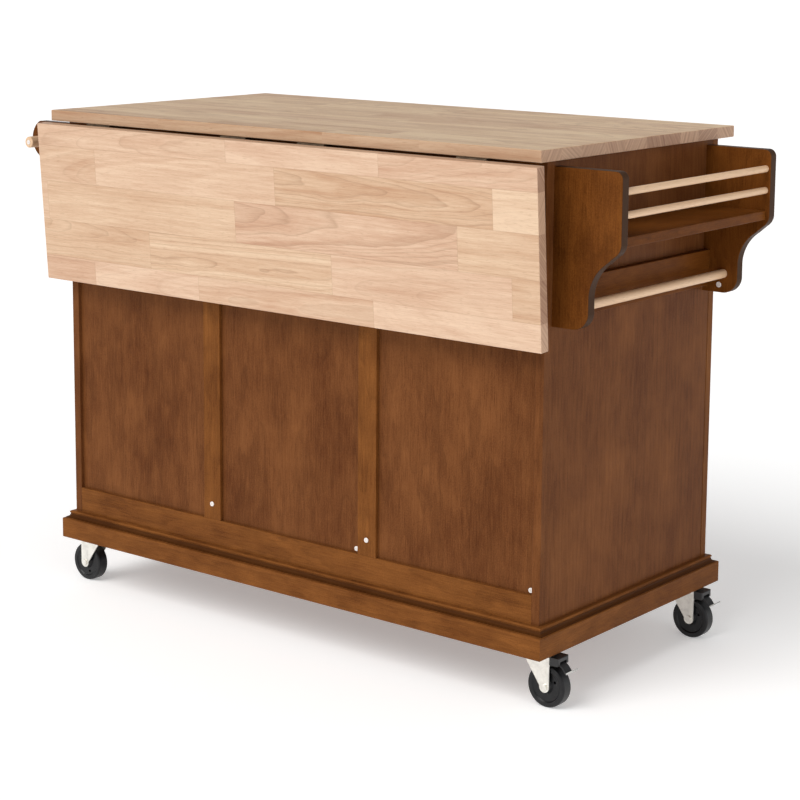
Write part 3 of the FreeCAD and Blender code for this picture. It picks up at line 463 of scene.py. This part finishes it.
def paint_nodes():
    """A node's own look comes first, then the look of its slot."""
    for name, node in NODES.items():
        for place in node.material_slots:
            slot = place.material.name.split(".")[0]
            place.material = NODE_LOOKS.get(name) or SLOT_LOOKS[slot]


paint_nodes()


# ---------------------------------------------------------------- worktop and leaf of glued blocks
LEAF_TILT = 4.0                       # degrees that the hanging leaf leans inwards
LEAF_THICK = 20.0                     # millimetres, as are all lengths of blocks
LEAF_ROWS = (40, 67, 74, 70)          # widths of the leaf's staves from its hinge; the last takes the rest
LEAF_CUTS = ((90, -254), (422, -22, -485), (556, 75, -413), (291, -143, -519), (440, 173, -232))
LEAF_TONES = ((0.42, 0.30, 0.62), (0.60, 0.36, 0.80, 0.08), (0.35, 0.50, 0.62, 0.48),
              (0.62, 0.40, 0.42, 0.66), (0.62, 0.34, 0.52, 0.16))
LEAF_FIGURES = ((0.55, 0.1, 0.6), (0.35, 0.12, 1.0, 0.25), (0.2, 0.3, 0.9, 0.35),
                (0.7, 1.0, 0.4, 0.3), (0.5, 0.3, 0.5, 0.15))
LEAF_SEED, WORKTOP_SEED = 5, 12
LEAF_BLOCK_SEEDS, WORKTOP_BLOCK_SEEDS = (1, 90), (100, 190)
STAVE = 60.0                          # usual stave width in the worktop
STAVE_STRAY = 9                       # how far the edges of its staves lie from even spacing
BLOCK_LENGTHS = (170, 430)
SHORTEST_BLOCK = 90
WORKTOP_TONES = (0.15, 0.85)
WORKTOP_FIGURES = (0.15, 0.3, 0.5, 0.8)
WORKTOP_PINK = 0.4
WORKTOP_BROAD, LEAF_BROAD = 0.7, 0.2
EDGE_ROUNDING = 1.3
EDGE_ANGLE = 60                       # degrees; sharper edges are rounded


class Block:
    """One stave block: its span along and across the board, in millimetres, and its look."""

    def __init__(self, along, across, seed, tone, figure, pink):
        self.along = (min(along), max(along))
        self.across = across
        self.place = (sum(along) / 2, sum(across) / 2, seed)
        self.look = (tone, figure, pink)
        self.half = ((self.along[1] - self.along[0]) / 2, (across[1] - across[0]) / 2, 0.0)

    def holds(self, along, across):
        near = 0.01
        return (self.along[0] - near <= along <= self.along[1] + near
                and self.across[0] - near <= across <= self.across[1] + near)


def leaf_blocks(half_length, height, draw):
    """The leaf's blocks: across runs from the hinged edge, 0, to the free edge, height."""
    edges = [0.0]
    for width in LEAF_ROWS:
        edges.append(edges[-1] + width)
    edges.append(height)
    blocks = []
    for row, cuts in enumerate(LEAF_CUTS):
        stops = [half_length, *cuts, -half_length]
        for at, span in enumerate(zip(stops[:-1], stops[1:])):
            blocks.append(Block(span, (edges[row], edges[row + 1]), draw.uniform(*LEAF_BLOCK_SEEDS),
                                LEAF_TONES[row][at], LEAF_FIGURES[row][at], draw.random()))
    return blocks


def worktop_blocks(half_length, low, high, draw):
    """Staves of random blocks across the worktop's depth."""
    blocks = []
    rows = round((high - low) / STAVE)
    edges = [low + (high - low) * row / rows for row in range(rows + 1)]
    inner = [edge + draw.uniform(-STAVE_STRAY, STAVE_STRAY) for edge in edges[1:-1]]
    edges = [edges[0], *inner, edges[-1]]
    for span in zip(edges[:-1], edges[1:]):
        start = -half_length
        while start < half_length:
            end = start + draw.uniform(*BLOCK_LENGTHS)
            if half_length - end < SHORTEST_BLOCK:
                end = half_length
            figure = draw.choice(WORKTOP_FIGURES)
            seed = draw.uniform(*WORKTOP_BLOCK_SEEDS)
            tone = draw.uniform(*WORKTOP_TONES)
            blocks.append(Block((start, end), span, seed, tone, figure, draw.random() * WORKTOP_PINK))
            start = end
    return blocks


def block_board(name, blocks, thick, to_frame):
    """A closed board whose faces are cut along the blocks' joints and know their block."""
    along = sorted({round(stop, 3) for block in blocks for stop in block.along})
    across = sorted({round(stop, 3) for block in blocks for stop in block.across})
    columns, rows = len(along), len(across)
    points = [(u, v, w) for w in (0.0, thick) for v in across for u in along]

    def at(column, row, layer):
        return layer * rows * columns + row * columns + column

    faces = []
    for row in range(rows - 1):
        for column in range(columns - 1):
            square = [(column, row), (column + 1, row), (column + 1, row + 1), (column, row + 1)]
            faces.append([at(c, r, 1) for c, r in square])
            faces.append([at(c, r, 0) for c, r in reversed(square)])
    rim = [(column, 0) for column in range(columns - 1)]
    rim += [(columns - 1, row) for row in range(rows - 1)]
    rim += [(column, rows - 1) for column in range(columns - 1, 0, -1)]
    rim += [(0, row) for row in range(rows - 1, 0, -1)]
    for first, second in zip(rim, rim[1:] + rim[:1]):
        faces.append([at(*first, 0), at(*second, 0), at(*second, 1), at(*first, 1)])

    mesh = bpy.data.meshes.new(name)
    mesh.from_pydata([to_frame(*point) for point in points], [], faces)
    looks = {"block_place": "place", "block_look": "look", "block_half": "half"}
    layers = {key: mesh.attributes.new(key, "FLOAT_VECTOR", "FACE") for key in looks}
    for index, face in enumerate(faces):
        u = sum(points[corner][0] for corner in face) / len(face)
        v = sum(points[corner][1] for corner in face) / len(face)
        block = next(b for b in blocks if b.holds(u, v))
        for key, field in looks.items():
            layers[key].data[index].vector = getattr(block, field)
    board = bpy.data.objects.new(name, mesh)
    bpy.context.scene.collection.objects.link(board)
    rounding = board.modifiers.new("rounded_edges", "BEVEL")
    rounding.width = EDGE_ROUNDING * MM
    rounding.segments = 3
    rounding.limit_method = "ANGLE"
    rounding.angle_limit = math.radians(EDGE_ANGLE)
    board.modifiers.new("even_shading", "WEIGHTED_NORMAL")
    for face in mesh.polygons:
        face.use_smooth = True
    return board


def make_worktop():
    low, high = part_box("worktop")
    blocks = worktop_blocks(high.x / MM, low.y / MM, high.y / MM, random.Random(WORKTOP_SEED))
    thick = (high.z - low.z) / MM
    board = block_board("worktop_blocks", blocks, thick,
                        lambda u, v, w: (u * MM, v * MM, low.z + w * MM))
    wood = rubberwood("worktop_wood", (0, 0, 0), (0, 0, 0), TOP_PAINTED_SHADE, SIDE_PAINTED_SHADE, WORKTOP_BROAD)
    board.data.materials.append(wood)
    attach(board, "cabinet")
    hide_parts("worktop")


def make_leaf():
    """The leaf hangs from its hinged edge and leans inwards by LEAF_TILT."""
    low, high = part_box("drop_leaf")
    tilt = math.radians(LEAF_TILT)
    down = Vector((0, -math.sin(tilt), -math.cos(tilt)))
    out = Vector((0, math.cos(tilt), -math.sin(tilt)))
    top_inner = Vector((0, high.y - out.y * LEAF_THICK * MM, high.z))
    height = (high.z - low.z - LEAF_THICK * MM * math.sin(tilt)) / math.cos(tilt) / MM

    def to_frame(u, v, w):
        return Vector((u * MM, 0, 0)) + top_inner + down * (v * MM) + out * (w * MM)

    blocks = leaf_blocks(high.x / MM, height, random.Random(LEAF_SEED))
    board = block_board("leaf_blocks", blocks, LEAF_THICK, to_frame)
    turn = math.atan2(-down.z, down.y)
    wood = rubberwood("leaf_wood", (turn, 0, 0), tuple(-top_inner), NO_PAINTED_SHADE, NO_PAINTED_SHADE, LEAF_BROAD)
    board.data.materials.append(wood)
    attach(board, "leaf")
    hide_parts("drop_leaf")


make_worktop()
make_leaf()


# ---------------------------------------------------------------- stage, lights, camera
FLOOR_SIZE = 400.0                    # metres; its edge lies behind the white horizon
FLOOR_DARK, FLOOR_PALE = (0.94, 0.94, 0.94), (0.96, 0.96, 0.96)
FLOOR_GLOW = 0.30
WHITE = (1.0, 1.0, 1.0)
HORIZON_FADE = (0.10, 0.30)           # upward part of a direction where the world's light falls off
HORIZON_LIGHT, SKY_LIGHT = 1.0, 0.34
KEY_TOWARD, KEY_STRENGTH, KEY_SPREAD = (0.14, 0.68, 0.72), 1.85, 40
KEY_COLOUR = (1.0, 0.995, 0.985)
FILL_TOWARD, FILL_STRENGTH, FILL_SPREAD = (-1.0, 0.35, 0.40), 0.40, 50
CAMERA_PLACE = (-2.432, 2.992, 1.258)
CAMERA_ANGLES = (38.53, 9.26, 0.42)   # heading, pitch and roll in degrees
CAMERA_LENS, CAMERA_SENSOR = 94.9, 36.0
CAMERA_SHIFT = -0.15
CAMERA_REACH = 100.0


def make_floor():
    bpy.ops.mesh.primitive_plane_add(size=FLOOR_SIZE)
    floor = bpy.context.object
    floor.name = "floor"
    g = Graph("floor_paper")
    paper = g.mix(g.noise(g.place(), 1.5, 3.0), FLOOR_DARK, FLOOR_PALE)
    g.finish(Base_Color=paper, Roughness=0.9, Emission_Color=(*WHITE, 1.0), Emission_Strength=FLOOR_GLOW)
    floor.data.materials.append(g.material)


def sun(name, toward, strength, spread, colour):
    """Soft studio light from a direction, even over the whole floor."""
    lamp = bpy.data.lights.new(name, "SUN")
    lamp.energy = strength
    lamp.angle = math.radians(spread)
    lamp.color = colour
    made = bpy.data.objects.new(name, lamp)
    made.rotation_euler = Vector(toward).to_track_quat("Z", "Y").to_euler()
    bpy.context.scene.collection.objects.link(made)


def make_world():
    """The world is white around the horizon so that the floor has no end."""
    world = bpy.data.worlds.new("studio")
    world.use_nodes = True
    tree = world.node_tree
    place = tree.nodes.new("ShaderNodeTexCoord")
    split = tree.nodes.new("ShaderNodeSeparateXYZ")
    fade = tree.nodes.new("ShaderNodeMapRange")
    tree.links.new(place.outputs["Generated"], split.inputs[0])
    tree.links.new(split.outputs["Z"], fade.inputs[0])
    for socket, value in zip(list(fade.inputs)[1:5], (*HORIZON_FADE, HORIZON_LIGHT, SKY_LIGHT)):
        socket.default_value = value
    background = tree.nodes["Background"]
    background.inputs["Color"].default_value = (*WHITE, 1.0)
    tree.links.new(fade.outputs[0], background.inputs["Strength"])
    bpy.context.scene.world = world


def make_camera():
    """The camera's frame from its heading, pitch and roll."""
    yaw, pitch, roll = (math.radians(angle) for angle in CAMERA_ANGLES)
    ahead = Vector((math.sin(yaw), -math.cos(yaw), 0))
    right = Vector((-math.cos(yaw), -math.sin(yaw), 0))
    up = Vector((0, 0, 1))
    look = ahead * math.cos(pitch) - up * math.sin(pitch)
    rise = ahead * math.sin(pitch) + up * math.cos(pitch)
    level = right * math.cos(roll) + rise * math.sin(roll)
    rise = rise * math.cos(roll) - right * math.sin(roll)
    data = bpy.data.cameras.new("camera")
    data.lens = CAMERA_LENS
    data.sensor_width = CAMERA_SENSOR
    data.shift_y = CAMERA_SHIFT
    data.clip_end = CAMERA_REACH
    camera = bpy.data.objects.new("camera", data)
    turn = Matrix((level, rise, -look)).transposed().to_4x4()
    camera.matrix_world = Matrix.Translation(CAMERA_PLACE) @ turn
    bpy.context.scene.collection.objects.link(camera)
    bpy.context.scene.camera = camera


make_floor()
make_world()
sun("key", KEY_TOWARD, KEY_STRENGTH, KEY_SPREAD, KEY_COLOUR)
sun("fill", FILL_TOWARD, FILL_STRENGTH, FILL_SPREAD, WHITE)
make_camera()
bpy.context.scene.view_settings.view_transform = "Standard"
